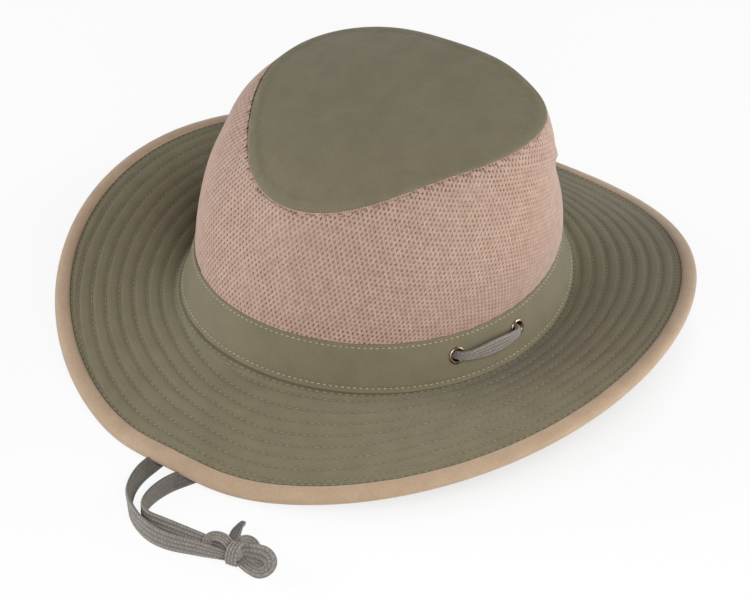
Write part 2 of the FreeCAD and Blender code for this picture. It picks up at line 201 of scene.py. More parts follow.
def newMaterial(name, plain, roughness, sheen=0.0, metallic=0.0):
    # plain is the colour where a viewer shows no pattern
    material = bpy.data.materials.new(name)
    material.use_nodes = True
    tree = material.node_tree
    shader = tree.nodes["Principled BSDF"]
    settings = {"Base Color": tint(*plain), "Roughness": roughness, "Metallic": metallic,
                "Sheen Weight": sheen,
                "Sheen Roughness": 0.5, "Specular IOR Level": 0.5 if metallic else 0.25}
    for socket, value in settings.items():
        shader.inputs[socket].default_value = value
    return material, tree, shader, addNode(tree, "TexCoord").outputs


def addNode(tree, kind, sources=None, **values):
    # a shader node with its fixed values, and with its other sockets joined to their sources
    node = tree.nodes.new("ShaderNode" + kind)
    for name, value in values.items():
        node.inputs[name.replace("_", " ")].default_value = value
    for socket, source in (sources or {}).items():
        tree.links.new(source, node.inputs[socket])
    return node


def mottle(tree, coordinates, dark, light, scale, low=0.35, high=0.65):
    # a noise that wanders between two shades
    cloud = addNode(tree, "TexNoise", {"Vector": coordinates}, Scale=scale, Detail=3.0, Roughness=0.55)
    ramp = addNode(tree, "ValToRGB", {"Fac": cloud.outputs["Fac"]})
    for index, (position, shade) in enumerate(((low, dark), (high, light))):
        ramp.color_ramp.elements[index].position = position
        ramp.color_ramp.elements[index].color = tint(*shade)
    return ramp.outputs["Color"]


def wovenHeight(tree, coordinates, pitch, skew):
    # over and under threads: two crossed waves, one pitch of cloth per thread, in metres
    turned = addNode(tree, "Mapping", {"Vector": coordinates}, Rotation=(0, 0, skew))
    product = addNode(tree, "Math")
    product.operation = "MULTIPLY"
    for slot, direction in enumerate("XY"):
        threads = addNode(tree, "TexWave", {"Vector": turned.outputs["Vector"]}, Scale=0.314 / (pitch * mm),
                          Distortion=0.6, Detail=1.0)
        threads.bands_direction = direction
        tree.links.new(threads.outputs["Fac"], product.inputs[slot])
    return product.outputs["Value"]


def paintedShadeShare(tree):
    # the painted shade each mesh stores: 0 where shade is painted deepest, in valleys, creases, hollows and
    # shaded faces, and 1 where there is none
    stored = addNode(tree, "Attribute")
    stored.attribute_name = "relief"
    return stored.outputs["Fac"]


def darken(tree, colour, height, low, floor):
    # the low places of a height keep this share of the colour
    levels = addNode(tree, "MapRange", {"Value": height}, From_Min=0.0, From_Max=low, To_Min=floor,
                     To_Max=1.0)
    shade = addNode(tree, "Mix")
    shade.data_type = "RGBA"
    shade.blend_type = "MULTIPLY"
    shade.inputs["Factor"].default_value = 1.0
    tree.links.new(colour, shade.inputs["A"])
    tree.links.new(levels.outputs["Result"], shade.inputs["B"])
    return shade.outputs["Result"]


def addBump(tree, shader, height, strength, distance):
    relief = addNode(tree, "Bump", {"Height": height}, Strength=strength, Distance=distance)
    tree.links.new(relief.outputs["Normal"], shader.inputs["Normal"])


def clothMaterial(name, dark, light, threadPitch, roughness=0.85, sheen=0.15, skew=0.0, relief=0.4,
                  valley=1.0):
    material, tree, shader, place = newMaterial(name, light, roughness, sheen)
    colour = mottle(tree, place["Object"], dark, light, 90.0, 0.3, 0.7)
    height = wovenHeight(tree, place["UV"], threadPitch, skew)
    colour = darken(tree, colour, height, 0.35, 0.88)
    grain = addNode(tree, "TexNoise", {"Vector": place["Object"]}, Scale=900.0, Detail=2.0, Roughness=0.7)
    colour = darken(tree, colour, grain.outputs["Fac"], 0.62, 0.8)
    # painted shade: the share the mesh stores darkens the colour, down to valley in the deepest places
    if valley < 1:
        colour = darken(tree, colour, paintedShadeShare(tree), 0.7, valley)
    tree.links.new(colour, shader.inputs["Base Color"])
    addBump(tree, shader, height, relief, 0.0002)
    return material


def mottledMaterial(name, dark, light, scale, roughness, sheen, plain=None, metallic=0.0, paintedValleyShade=None,
                    fuzz=None):
    # yarn or metal in two shades, with painted shade in the valleys and a fuzzy surface where they are given
    material, tree, shader, place = newMaterial(name, plain or light, roughness, sheen, metallic)
    colour = mottle(tree, place["Object"], dark, light, scale)
    if paintedValleyShade:
        colour = darken(tree, colour, paintedShadeShare(tree), *paintedValleyShade)
    tree.links.new(colour, shader.inputs["Base Color"])
    if fuzz:
        fibreScale, strength, distance = fuzz
        fibres = addNode(tree, "TexNoise", {"Vector": place["Object"]}, Scale=fibreScale, Detail=2.0)
        addBump(tree, shader, fibres.outputs["Fac"], strength, distance)
    return material


oliveCloth = clothMaterial("oliveCloth", (120, 112, 89), (128, 120, 96), 0.42)
# on the brim and the band the painted shade in valleys, creases and shadow lines goes down to half the colour
quiltedCloth = clothMaterial("quiltedCloth", (122, 114, 90), (130, 122, 97), 0.42, valley=0.5)
tapeCloth = clothMaterial("bindingTwill", (182, 155, 127), (192, 165, 136), 0.36, roughness=0.6, sheen=0.3,
                          skew=0.8)
liningCloth = clothMaterial("liningCloth", (108, 101, 80), (122, 115, 92), 0.3)
sweatCloth = clothMaterial("sweatbandCloth", (124, 116, 95), (140, 132, 110), 0.9, roughness=0.95, relief=0.8)
foamCloth = clothMaterial("stiffenerFelt", (206, 202, 192), (222, 219, 210), 0.6, roughness=0.95)
seamCloth = clothMaterial("seamTapeCloth", (150, 128, 106), (168, 146, 122), 0.35)
# painted shade in the knit's hollows round each hole, down to 0.68 of the colour
meshKnit = mottledMaterial("meshKnit", (180, 148, 131), (194, 163, 145), 240.0, 0.7, 0.3,
                           plain=(222, 192, 176), paintedValleyShade=(1.0, 0.68), fuzz=(2600.0, 0.35, 0.0002))
quiltThread = mottledMaterial("quiltThread", (142, 133, 104), (158, 149, 120), 300.0, 0.5, 0.2)
bandThread = mottledMaterial("bandThread", (176, 164, 128), (200, 188, 152), 300.0, 0.5, 0.2)
oliveThread = mottledMaterial("oliveThread", (118, 110, 82), (140, 130, 100), 300.0, 0.5, 0.2)
# painted shade down to 0.4 of the colour: in the rib valleys, in the knot's middle and on one face of the
# strands under the brim
cordBraid = mottledMaterial("cordBraid", (142, 135, 127), (156, 149, 141), 500.0, 0.6, 0.2,
                            plain=(124, 118, 112), paintedValleyShade=(0.95, 0.4), fuzz=(1800.0, 0.4, 0.0003))
antiqueBrass = mottledMaterial("antiqueBrass", (128, 108, 90), (190, 168, 146), 500.0, 0.32, 0.0,
                               plain=(150, 118, 92), metallic=1.0)
for node in ("eyelets", "eyelet_washers"):
    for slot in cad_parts[node].material_slots:
        slot.material = antiqueBrass


# Making pieces


def intoScene(thing):
    bpy.context.scene.collection.objects.link(thing)
    return thing


def meshObject(form, name):
    mesh = bpy.data.meshes.new(name)
    form.to_mesh(mesh)
    form.free()
    return intoScene(bpy.data.objects.new(name, mesh))


def finished(form, name, material, weave=(1, 1)):
    # merges the joins, turns every face outwards, sizes the weave's map in metres and rides
    bmesh.ops.remove_doubles(form, verts=form.verts, dist=0.0000005)
    bmesh.ops.recalc_face_normals(form, faces=form.faces)
    layer = form.loops.layers.uv.active
    for face in form.faces:
        face.smooth = True
        if layer:
            for loop in face.loops:
                loop[layer].uv = (loop[layer].uv.x * weave[0], loop[layer].uv.y * weave[1])
    piece = meshObject(form, name)
    piece.data.materials.append(material)
    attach(piece, "root")
    return piece


def plainGrid(columns, rows):
    form = bmesh.new()
    form.verts.layers.float.new("relief")
    form.loops.layers.uv.new("UVMap")
    bmesh.ops.create_grid(form, x_segments=columns, y_segments=rows, size=0.5, calc_uvs=True)
    return form


def ringPiece(name, material, columns, rows, pointAt, weave, paintedShadeFor=None):
    # a closed ring of cloth: the rows are the stations round its section
    form = plainGrid(columns, len(rows))
    relief = form.verts.layers.float["relief"]
    for vert in form.verts:
        turn = 2 * math.pi * (vert.co.x + 0.5)
        row = rows[round((vert.co.y + 0.5) * len(rows)) % len(rows)]
        vert.co = pointAt(turn, row) * mm
        # each place keeps the painted shade the piece gives it, or none
        vert[relief] = paintedShadeFor(turn, row) if paintedShadeFor else 1
    return finished(form, name, material, weave)


def spread(low, high, count):
    return [low + (high - low) * step / count for step in range(count + 1)]


def bothFaces(first, second, low, high, firstSteps, secondSteps):
    # the rows of a closed sheet: across one face and back across the other
    return ([(first, across) for across in spread(low, high, firstSteps)]
            + [(second, across) for across in spread(high, low, secondSteps)])


# Camera


view = {"azimuth": 41.931, "elevation": 36.659, "roll": 0.848, "distance": 1139.237, "lens": 109.44,
        "target": (-1.877, -1.9, 5.118)}


def addCamera():
    azimuth, elevation, roll = (math.radians(view[name]) for name in ("azimuth", "elevation", "roll"))
    back = Vector((math.sin(azimuth) * math.cos(elevation), -math.cos(azimuth) * math.cos(elevation),
                   math.sin(elevation)))
    level = Vector((math.cos(azimuth), math.sin(azimuth), 0))
    above = back.cross(level)
    right = level * math.cos(roll) + above * math.sin(roll)
    top = above * math.cos(roll) - level * math.sin(roll)
    camera = intoScene(bpy.data.objects.new("camera", bpy.data.cameras.new("camera")))
    camera.data.lens = view["lens"]
    camera.data.sensor_width = 36
    camera.data.clip_start = 0.05
    place = (Vector(view["target"]) + back * view["distance"]) * mm
    camera.matrix_world = Matrix.Translation(place) @ Matrix((right, top, back)).transposed().to_4x4()
    bpy.context.scene.camera = camera


addCamera()
print("camera ready")


# Chin cord, a flat braid of four ribs


# the last value is painted shade: the share of colour left on one face of the strands under the brim
cord = {"width": 8.0, "thickness": 2.2, "ribs": 4, "rib": 0.55, "plait": 1.7, "plaitHeight": 0.16,
        "step": 0.42, "around": 48, "lineSteps": 16, "paintedFaceShade": 0.1}

# route points in metres, and beside each how far the braid leans on its edge there
leftRoute = (
    (0.0790, -0.0368, 0.0344), (0.0717, -0.0343, 0.0319), (0.0638, -0.0315, 0.0260),
    (0.0580, -0.0283, 0.0165), (0.0520, -0.0234, 0.0075), (0.0425, -0.0194, 0.0024),
    (0.0290, -0.0229, 0.0020), (0.0210, -0.0389, 0.0020), (0.0260, -0.0629, 0.0020),
    (0.0365, -0.0869, 0.0020), (0.0380, -0.1129, 0.0020), (0.0300, -0.1359, 0.0020),
    (0.0262, -0.1539, 0.0020), (0.0225, -0.1689, 0.0032), (0.0243, -0.1835, 0.0040),
    (0.0310, -0.1903, 0.0042), (0.0430, -0.1876, 0.0045), (0.0550, -0.1843, 0.0048),
    (0.0660, -0.1815, 0.0053), (0.0760, -0.1803, 0.0058))
leftLeans = (0,) * 12 + (30, 56, 72, 96, 116, 126, 130, 130)
rightRoute = (
    (-0.0790, -0.0368, 0.0344), (-0.0717, -0.0343, 0.0319), (-0.0636, -0.0323, 0.0260),
    (-0.0572, -0.0315, 0.0165), (-0.0505, -0.0324, 0.0075), (-0.0410, -0.0369, 0.0024),
    (-0.0320, -0.0489, 0.0020), (-0.0290, -0.0699, 0.0020), (-0.0240, -0.0969, 0.0020),
    (-0.0090, -0.1199, 0.0020), (0.0030, -0.1399, 0.0020), (0.0065, -0.1579, 0.0020),
    (0.0090, -0.1739, 0.0032), (0.0170, -0.1869, 0.0040), (0.0310, -0.1944, 0.0042),
    (0.0465, -0.1954, 0.0043), (0.0628, -0.1881, 0.0052), (0.0720, -0.1845, 0.0055),
    (0.0805, -0.1808, 0.0055))
rightLeans = (0,) * 11 + (30, 56, 74, 100, 120, 128, 120, 110)
loopRoute = (
    (0.0790, -0.1788, 0.0064), (0.0850, -0.1754, 0.0068), (0.0908, -0.1733, 0.0068),
    (0.0954, -0.1756, 0.0062), (0.0952, -0.1800, 0.0050), (0.0905, -0.1812, 0.0042),
    (0.0830, -0.1808, 0.0048))
loopHeart = Vector((0.0914, -0.1787, 0.0055))
loopFacing = Vector((0.26, -0.4, 0.88))
tailRoute = (
    (0.0785, -0.1798, 0.0085), (0.0748, -0.1770, 0.0092), (0.0708, -0.1716, 0.0078),
    (0.0674, -0.1658, 0.0050), (0.0640, -0.1602, 0.0026))
tailLeans = (20, 20, 10, 0, 0)
knotEnds = (Vector((0.0745, -0.1819, 0.0058)), Vector((0.0853, -0.1783, 0.0058)))

# the knot's own turn round the strands: along the knot, round it in degrees, and out from its middle
knotTurns = ((4.4, -175, 2.6), (4.6, -130, 3.8), (4.8, -80, 4.4), (4.9, -30, 4.8), (5.0, 20, 5.0),
             (5.0, 70, 5.1), (4.9, 120, 5.0), (4.8, 170, 4.6), (4.6, 215, 3.9), (4.4, 255, 2.6))
lobeRoutes = (
    ((0.0780, -0.1805, 0.0078), (0.0745, -0.1796, 0.0090), (0.0700, -0.1793, 0.0094),
     (0.0655, -0.1806, 0.0082), (0.0640, -0.1830, 0.0064), (0.0665, -0.1850, 0.0050)),
    ((0.0772, -0.1790, 0.0078), (0.0774, -0.1757, 0.0092), (0.0790, -0.1724, 0.0090),
     (0.0822, -0.1714, 0.0074), (0.0852, -0.1735, 0.0056), (0.0852, -0.1768, 0.0048)))


def routeLine(name, route):
    # the smooth line of a limp cord: its route steers one NURBS spline
    curve = bpy.data.curves.new(name + "Line", "CURVE")
    curve.dimensions = "3D"
    curve.resolution_u = cord["lineSteps"]
    spline = curve.splines.new("NURBS")
    spline.points.add(len(route) - 1)
    for point, place in zip(spline.points, route):
        point.co = (*place, 1)
    spline.order_u = 3
    spline.use_endpoint_u = True
    holder = bpy.data.objects.new(name + "Line", curve)
    line = bpy.data.meshes.new_from_object(holder)
    points = [vert.co.copy() for vert in line.vertices]
    bpy.data.objects.remove(holder)
    bpy.data.curves.remove(curve)
    bpy.data.meshes.remove(line)
    return points


def lineLength(points):
    return sum((after - before).length for before, after in zip(points, points[1:]))


def along(values, share):
    # reads a list of values at a share of its length, straight between neighbours
    place = min(max(share, 0), 1) * (len(values) - 1)
    low = min(int(place), len(values) - 2)
    return values[low] + (values[low + 1] - values[low]) * (place - low)


def spacedFrames(points, leans):
    # evenly spaced places along the line, each with the braid's across and upright directions
    count = round(lineLength(points) / mm / cord["step"])
    runs = [0.0]
    for before, after in zip(points, points[1:]):
        runs.append(runs[-1] + (after - before).length)
    frames = []
    near = 0
    for index in range(count + 1):
        run = runs[-1] * index / count
        while near < len(points) - 2 and runs[near + 1] < run:
            near += 1
        share = (run - runs[near]) / (runs[near + 1] - runs[near])
        place = points[near].lerp(points[near + 1], share)
        behind = points[max(near - 2, 0)]
        ahead = points[min(near + 3, len(points) - 1)]
        heading = (ahead - behind).normalized()
        lean = math.radians(along(leans, (near + share) / (len(points) - 1)))
        side = heading.cross(up).normalized()
        across = side * math.cos(lean) + side.cross(heading) * math.sin(lean)
        frames.append((place, across, across.cross(heading).normalized()))
    return frames, runs[-1]


def ribbedProfile(swing, run, width, thickness):
    # the braid's section: four ribs on each face, each plaited slantwise, and rounded edges
    across = math.cos(swing)
    face = math.sin(swing)
    rib = (across + 1) / 2 * cord["ribs"]
    lobe = abs(math.sin(math.pi * rib))
    slant = 1 if int(rib) % 2 else -1
    plait = math.cos(2 * math.pi * (run / cord["plait"] + slant * (rib % 1) * 0.6))
    body = (1 - cord["rib"]) + cord["rib"] * lobe
    edge = max(1 - abs(across) ** 6, 0) ** 0.5
    rise = (thickness / 2 * body + cord["plaitHeight"] * plait * lobe) * edge
    # shown is painted shade: darker in the valleys between ribs and in the dips of the plaits
    shown = (0.25 + 0.75 * lobe) * (0.72 + 0.28 * plait)
    return across * width / 2, math.copysign(rise, face) if edge else 0.0, shown


def braidPiece(name, frames, length, widths=(1, 1), onTable=False):
    # sweeps the braid's section along its frames; the ends are rounded shut
    rings = len(frames) - 1
    form = plainGrid(rings, cord["around"])
    relief = form.verts.layers.float["relief"]
    for vert in form.verts:
        ring = round((vert.co.x + 0.5) * rings)
        swing = 2 * math.pi * (vert.co.y + 0.5)
        place, across, upright = frames[ring]
        run = length / mm * ring / rings
        end = min(run, length / mm - run)
        closing = math.sqrt(max(1 - max(1 - end / 1.1, 0) ** 2, 0))
        width = cord["width"] * along(widths, ring / rings) * (0.4 + 0.6 * closing if closing else 0)
        sideways, rise, shown = ribbedProfile(swing, run, width, cord["thickness"])
        # painted shade on the strands that lie on the table: the face that looks up where they lie flat under
        # the brim is darkened, for the shade beneath it
        vert[relief] = shown * (cord["paintedFaceShade"] if onTable and rise > 0 else 1)
        vert.co = place + (across * sideways + upright * rise * closing) * mm
        if onTable:
            vert.co.z += restingLift(place, across, upright)
    return finished(form, name, cordBraid, (length, cord["width"] * 2 * mm))


def restingLift(place, across, upright):
    # sets a leaning stretch down on the table, and a flat one all the way
    reach = (abs(across.z) * cord["width"] + abs(upright.z) * cord["thickness"]) / 2 * mm
    return (reach - place.z) * (1 - smooth((place.z - reach) / 0.004))


def braidAlong(name, route, leans, widths=(1, 1), faceAt=None):
    # faceAt, where given, says which way the braid's face looks at each place
    points = routeLine(name, route)
    frames, length = spacedFrames(points, leans)
    if faceAt:
        frames = faced(frames, faceAt)
    return braidPiece(name, frames, length, widths, onTable=faceAt is None), points


def headingAt(frames, index):
    return frames[min(index + 1, len(frames) - 1)][0] - frames[max(index - 1, 0)][0]


def faced(frames, faceAt):
    turned = []
    for index, (place, across, upright) in enumerate(frames):
        heading = headingAt(frames, index)
        across = heading.cross(faceAt(place)).normalized()
        turned.append((place, across, across.cross(heading).normalized()))
    return turned


def knotWrapPiece():
    # the braid wound round the strands, its face always outwards
    start, end = knotEnds
    axis = (end - start).normalized()
    side = axis.cross(up).normalized()
    upright = side.cross(axis)
    turns = []
    for run, degrees, radius in knotTurns:
        swing = math.radians(degrees)
        away = side * math.cos(swing) + upright * math.sin(swing)
        turns.append(start + (axis * run + away * radius) * mm)

    def outwards(place):
        away = place - start
        return (away - axis * away.dot(axis)).normalized()

    return braidAlong("cordKnotWrap", turns, (0, 0), (0.5, 0.68, 0.72, 0.74, 0.72, 0.66, 0.5), outwards)[0]


def loopFace(place):
    # the loop is cupped: its face tips towards its own middle
    return (loopFacing + (loopHeart - place).normalized() * 0.4).normalized()


def knotHeart():
    # the strands bundled inside the turns
    form = bmesh.new()
    start, end = knotEnds
    relief = form.verts.layers.float.new("relief")
    bmesh.ops.create_uvsphere(form, u_segments=48, v_segments=32, radius=1)
    axis = (end - start).normalized()
    side = axis.cross(up).normalized()
    turn = Matrix((side, side.cross(axis), axis)).transposed()
    for vert in form.verts:
        swing = math.atan2(vert.co.y, vert.co.x)
        ridge = 1 + 0.09 * math.cos(7 * swing + 3 * vert.co.z)
        local = Vector((vert.co.x * 3.7 * ridge, vert.co.y * 3.4 * ridge, vert.co.z * 4.2)) * mm
        vert.co = start.lerp(end, 0.42) + turn @ local
        # painted shade: the strands inside the turns are darkened
        vert[relief] = 0.5
    return finished(form, "cordKnotHeart", cordBraid)


strandWidths = (1,) * 16 + (0.95, 0.8, 0.5)
leftCord, leftLine = braidAlong("chinCordLeft", leftRoute, leftLeans, strandWidths)
rightCord, rightLine = braidAlong("chinCordRight", rightRoute, rightLeans, strandWidths)
cordLoop = braidAlong("cordLoop", loopRoute, (0, 0), (0.8, 1.05, 1.15, 1.1, 0.95, 0.8, 0.7), loopFace)[0]
cordTail = braidAlong("cordTail", tailRoute, tailLeans, (0.85, 0.75, 0.6, 0.36, 0.3))[0]
knotLobes = [braidAlong(name, route, (0, 0), (0.5, 0.62, 0.62, 0.5),
                        lambda place: Vector((0.25, -0.3, 0.92)))[0]
             for name, route in zip(("cordKnotLobeLeft", "cordKnotLobeRight"), lobeRoutes)]
knotWrap = knotWrapPiece()
knotBody = knotHeart()
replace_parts(leftCord, "chin_cord_left")
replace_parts(rightCord, "chin_cord_right")
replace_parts(cordLoop, "cord_loop")
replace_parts(cordTail, "cord_tail")
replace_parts(knotWrap, "cord_knot")
print("chin cord made")


# Brim


quilt = {
    "pitch": 6.6, "start": -3.2, "laps": 9, "jogTurn": -8, "jogDrift": 0.5, "jogHalf": 20,
    "puff": 0.55, "valley": 1.0, "stitch": 3.5, "threadWidth": 0.42, "threadRise": 0.2,
    "dimple": 0.22, "edge": 1.2, "footRow": 0.6, "underPuff": 0.7,
}


def clothEdge(turn):
    # where the binding's inner edge lies on the brim
    return brimReach(turn) + brim["tape"] - brim["bindingWidth"]


def quiltShift(degrees, out):
    # the rows are one long spiral that steps out by a row as it passes the front
    middle = quilt["jogTurn"] + quilt["jogDrift"] * out
    return smooth((degrees - middle) / (2 * quilt["jogHalf"]) + 0.5)


def quiltSway(degrees, out):
    share = min(max(out / 54, 0), 1)
    return (2.2 * bump(degrees - 42, 30) * math.sin(math.pi * share)
            - 1.1 * bump(degrees + 42, 34) * (1 - share))


def quiltPhase(turn, out):
    degrees = degreesFromFront(turn)
    return (out - quilt["start"] - quiltSway(degrees, out)) / quilt["pitch"] - quiltShift(degrees, out)


def quiltOut(lap, degrees):
    # how far out a lap of the spiral runs at this turn
    out = quilt["start"] + quilt["pitch"] * lap
    for attempt in range(12):
        out = quilt["start"] + quilt["pitch"] * (lap + quiltShift(degrees, out)) + quiltSway(degrees, out)
    return out


def quiltRuns():
    # for each lap, the places every half degree, with the run along the thread so far
    laps = []
    run = 0.0
    for lap in range(quilt["laps"]):
        places = []
        before = None
        for step in range(721):
            degrees = -180 + step / 2
            turn = math.radians(degrees)
            out = quiltOut(lap, degrees)
            place = brimPoint(turn, out)
            if before:
                run += (place - before).length
            before = place
            places.append((turn, out, run))
        laps.append(places)
    return laps


quiltLaps = quiltRuns()


def quiltRelief(turn, out):
    # the cloth swells between the rows and dips where the needle went through
    edge = clothEdge(turn)
    if out > edge + 2:
        return -0.1
    phase = quiltPhase(turn, out)
    lap = min(max(round(phase), 0), quilt["laps"] - 1)
    distance = abs(phase - lap) * quilt["pitch"]
    fromEdge = min(abs(out - quilt["footRow"]), abs(edge - quilt["edge"] - out))
    relief = quilt["puff"] * (1 - bump(min(distance, fromEdge), quilt["valley"]))
    step = min(max((degreesFromFront(turn) + 180) * 2, 0), 720)
    run = quiltLaps[lap][int(step)][2]
    needle = math.cos(2 * math.pi * run / quilt["stitch"])
    return relief - quilt["dimple"] * max(needle, 0) * bump(distance, 0.8)


def clothOut(turn, share):
    # the cloths run from inside the head seam to just short of the rim
    return -brim["sewnIn"] + (brimReach(turn) + brim["clothOver"]) * share


def paintedQuiltShade(turn, row):
    # painted shade: darker in the quilting valleys, in the crease under the band and in a shadow line along
    # the binding's inner edge
    out = clothOut(turn, row[1])
    swell = 0.4 + 0.6 * min(max(quiltRelief(turn, out) / quilt["puff"], 0), 1)
    return swell * smooth((out + 0.1) / 0.7) * (1 - bump(out - clothEdge(turn), 0.8))


def brimCloth(name, columns, fine, side):
    # the top cloth, side 1, or the under one, side -1; each swells on its outer face
    def pointAt(turn, row):
        face, share = row
        out = clothOut(turn, share)
        if face == "inner":
            return brimPoint(turn, out, -brim["cloth"] if side > 0 else brim["cloth"] - brim["thickness"])
        if side > 0:
            return quiltedPoint(turn, out, quiltRelief(turn, out))
        return brimPoint(turn, out, -brim["thickness"] - quilt["underPuff"] * quiltRelief(turn, out))

    return ringPiece(name, quiltedCloth, columns, bothFaces("outer", "inner", 0, 1, fine, 4),
                     pointAt, (0.82, 0.066), paintedQuiltShade)


def brimStiffener():
    rows = bothFaces(-brim["cloth"] - 0.02, -brim["cloth"] - brim["core"] + 0.02, 0, 1, 8, 8)

    def pointAt(turn, row):
        above, share = row
        return brimPoint(turn, -1.6 + (brimReach(turn) + 0.8) * share, above)

    return ringPiece("brimStiffener", foamCloth, 240, rows, pointAt, (0.82, 0.12))


binding = {
    # the folded tape's section: back from the rim, and above the brim's top face
    "outside": ((7.1, 0.05), (6.95, 0.42), (6.5, 0.74), (5.6, 1.0), (4.5, 1.12), (3.3, 1.1), (2.2, 0.92),
                (1.2, 0.58), (0.45, 0.08), (-0.1, -0.55), (-0.35, -1.25), (-0.35, -1.9), (-0.1, -2.6),
                (0.45, -3.1), (1.3, -3.36), (2.8, -3.46), (4.6, -3.46), (6.2, -3.44), (6.9, -3.3),
                (7.1, -3.05)),
    "tape": 0.42, "pucker": 0.1, "puckerLength": 5.5,
}


def bindingTape():
    outside = binding["outside"]
    inside = [(back + (0 if back > 6.5 else binding["tape"] * 0.8), above - binding["tape"] if above > -1.5
               else above + binding["tape"]) for back, above in outside[::-1] if back > 0.4]
    rows = list(outside) + inside

    def pointAt(turn, row):
        back, above = row
        pucker = noise.noise(Vector((math.cos(turn), math.sin(turn),
                                     back / 60)) * 150 / binding["puckerLength"])
        lift = binding["pucker"] * pucker * (1 if above > -1.5 else 0)
        return brimPoint(turn, brimReach(turn) - back, above + lift)

    return ringPiece("bindingTape", tapeCloth, 900, rows, pointAt, (0.955, 0.03))


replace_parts(brimCloth("brimTopCloth", 1180, 64, 1), "brim_top")
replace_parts(brimCloth("brimUnderCloth", 900, 44, -1), "brim_under")
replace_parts(brimStiffener(), "brim_core")
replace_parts(bindingTape(), "brim_binding")
print("brim made")


# Band, lining, sweatband and head seam


eyelets = {"frontTurn": 68.9, "rearTurn": 90.3, "height": 14.0, "hole": 3.05, "buttonhole": (11.0, 6.5)}
bandLook = {"lowStitch": 2.4, "highStitch": 22.6, "groove": 0.3, "pitch": 2.8}


def eyeletFrame(turnDegrees, side):
    turn = math.radians(turnDegrees) * side
    return wallPoint(turn, eyelets["height"]), wallFacing(turn)


def cutters(outline):
    # drills for the holes: each is a round or slotted bar along an eyelet's own axis
    length, width = outline
    form = bmesh.new()
    for side in (1, -1):
        for turnDegrees in (eyelets["frontTurn"], eyelets["rearTurn"]):
            if length > width and turnDegrees == eyelets["rearTurn"]:
                continue
            place, axis = eyeletFrame(turnDegrees, side)
            across = axis.cross(up).normalized()
            turned = Matrix((across, axis.cross(across), axis)).transposed().to_4x4()
            bar = bmesh.ops.create_cone(form, cap_ends=True, segments=40, radius1=width / 2,
                                        radius2=width / 2, depth=24)["verts"]
            for vert in bar:
                vert.co.x += math.copysign((length - width) / 2, vert.co.x) if abs(vert.co.x) > 0.001 else 0
                vert.co = (Matrix.Translation(place) @ turned @ vert.co) * mm
    return meshObject(form, "drill")


def drilled(piece, outline):
    drill = cutters(outline)
    cut = piece.modifiers.new("holes", "BOOLEAN")
    cut.operation = "DIFFERENCE"
    cut.solver = "EXACT"
    cut.object = drill
    whole = piece.data
    piece.data = bpy.data.meshes.new_from_object(piece.evaluated_get(bpy.context.evaluated_depsgraph_get()))
    piece.data.name = piece.name
    piece.modifiers.clear()
    bpy.data.meshes.remove(whole)
    bpy.data.objects.remove(drill)
    return piece


def bandCloth():
    heights = spread(-1.2, wall["height"] - 0.25, 60)
    rows = ([("out", height) for height in heights] + [("edge", wall["height"])]
            + [("in", height) for height in spread(wall["height"] - 0.25, -1.2, 6)])

    def pointAt(turn, row):
        face, height = row
        if face == "edge":
            return wallPoint(turn, height, wall["cloth"] / 2)
        if face == "in":
            return wallPoint(turn, height, wall["cloth"])
        fromFoot = height - bandFoot(turn)
        groove = bandLook["groove"] * (bump(fromFoot - bandLook["lowStitch"], 0.8)
                                       + bump(height - bandLook["highStitch"], 0.7))
        place = wallPoint(turn, height)
        ripple = (0.35 * noise.noise(place / 22) * smooth((height - 4) / 6)
                  * smooth((wall["height"] - height) / 6))
        fold = 0.3 * bump(height - wall["height"], 0.5) + 0.9 * smooth((0.3 - fromFoot) / 0.7)
        roll = 0.4 * bump(fromFoot - 0.8, 0.7)
        return wallPoint(turn, height, groove - ripple + fold - roll - 0.1)

    def paintedShadeAt(turn, row):
        # painted shade in the fold at the band's foot and along the grooves of both stitch rows
        face, height = row
        fromFoot = height - bandFoot(turn)
        return (smooth(fromFoot / 0.6) * (1 - 0.5 * bump(fromFoot - bandLook["lowStitch"], 0.6))
                * (1 - 0.5 * bump(height - bandLook["highStitch"], 0.5)))

    return ringPiece("bandCloth", quiltedCloth, 720, rows, pointAt, (0.59, 0.05), paintedShadeAt)


def bandLining():
    rows = bothFaces(wall["cloth"] + 0.05, wall["cloth"] + wall["lining"], -0.6,
                     wall["height"] - crown["tuck"], 6, 6)
    return ringPiece("bandLining", liningCloth, 360, rows,
                     lambda turn, row: wallPoint(turn, row[1], row[0]), (0.58, 0.04))


def sweatband():
    low, high = -brim["thickness"], wall["sweatbandWidth"] - brim["thickness"]
    depth, cloth = wall["sweatbandInset"], wall["sweatband"]
    rows = ([("out", height) for height in spread(low + 0.5, high - 0.5, 16)] + [("top", high)]
            + [("in", height) for height in spread(high - 0.5, low + 0.5, 34)] + [("foot", low)])

    def pointAt(turn, row):
        face, height = row
        if face in ("top", "foot"):
            return wallPoint(turn, height, depth + cloth / 2)
        if face == "out":
            return wallPoint(turn, height, depth)
        groove = 0.35 * (bump(height - high + wall["sweatbandRow"], 0.7)
                         + bump(height - low - wall["sweatbandRow"], 0.7))
        place = wallPoint(turn, height)
        return wallPoint(turn, height, depth + cloth - groove + 0.25 * noise.noise(place / 9))

    return ringPiece("sweatbandCloth", sweatCloth, 540, rows, pointAt, (0.56, 0.066))


def headSeamRoll():
    # the turned-in edges of brim, band and sweatband, bound in one soft roll under the seam
    near, far = wall["cloth"] + wall["lining"], wall["sweatbandInset"]
    middle, half = (near + far) / 2, (far - near) / 2
    rows = spread(0, 2 * math.pi, 20)[:-1]

    def pointAt(turn, swing):
        ease = 0.92 + 0.06 * noise.noise(seamPoint(turn) / 7)
        return wallPoint(turn, -brim["thickness"] / 2 + 1.45 * math.sin(swing) * ease,
                         middle - half * math.cos(swing) * ease)

    return ringPiece("headSeamRollCloth", oliveCloth, 480, rows, pointAt, (0.58, 0.011))


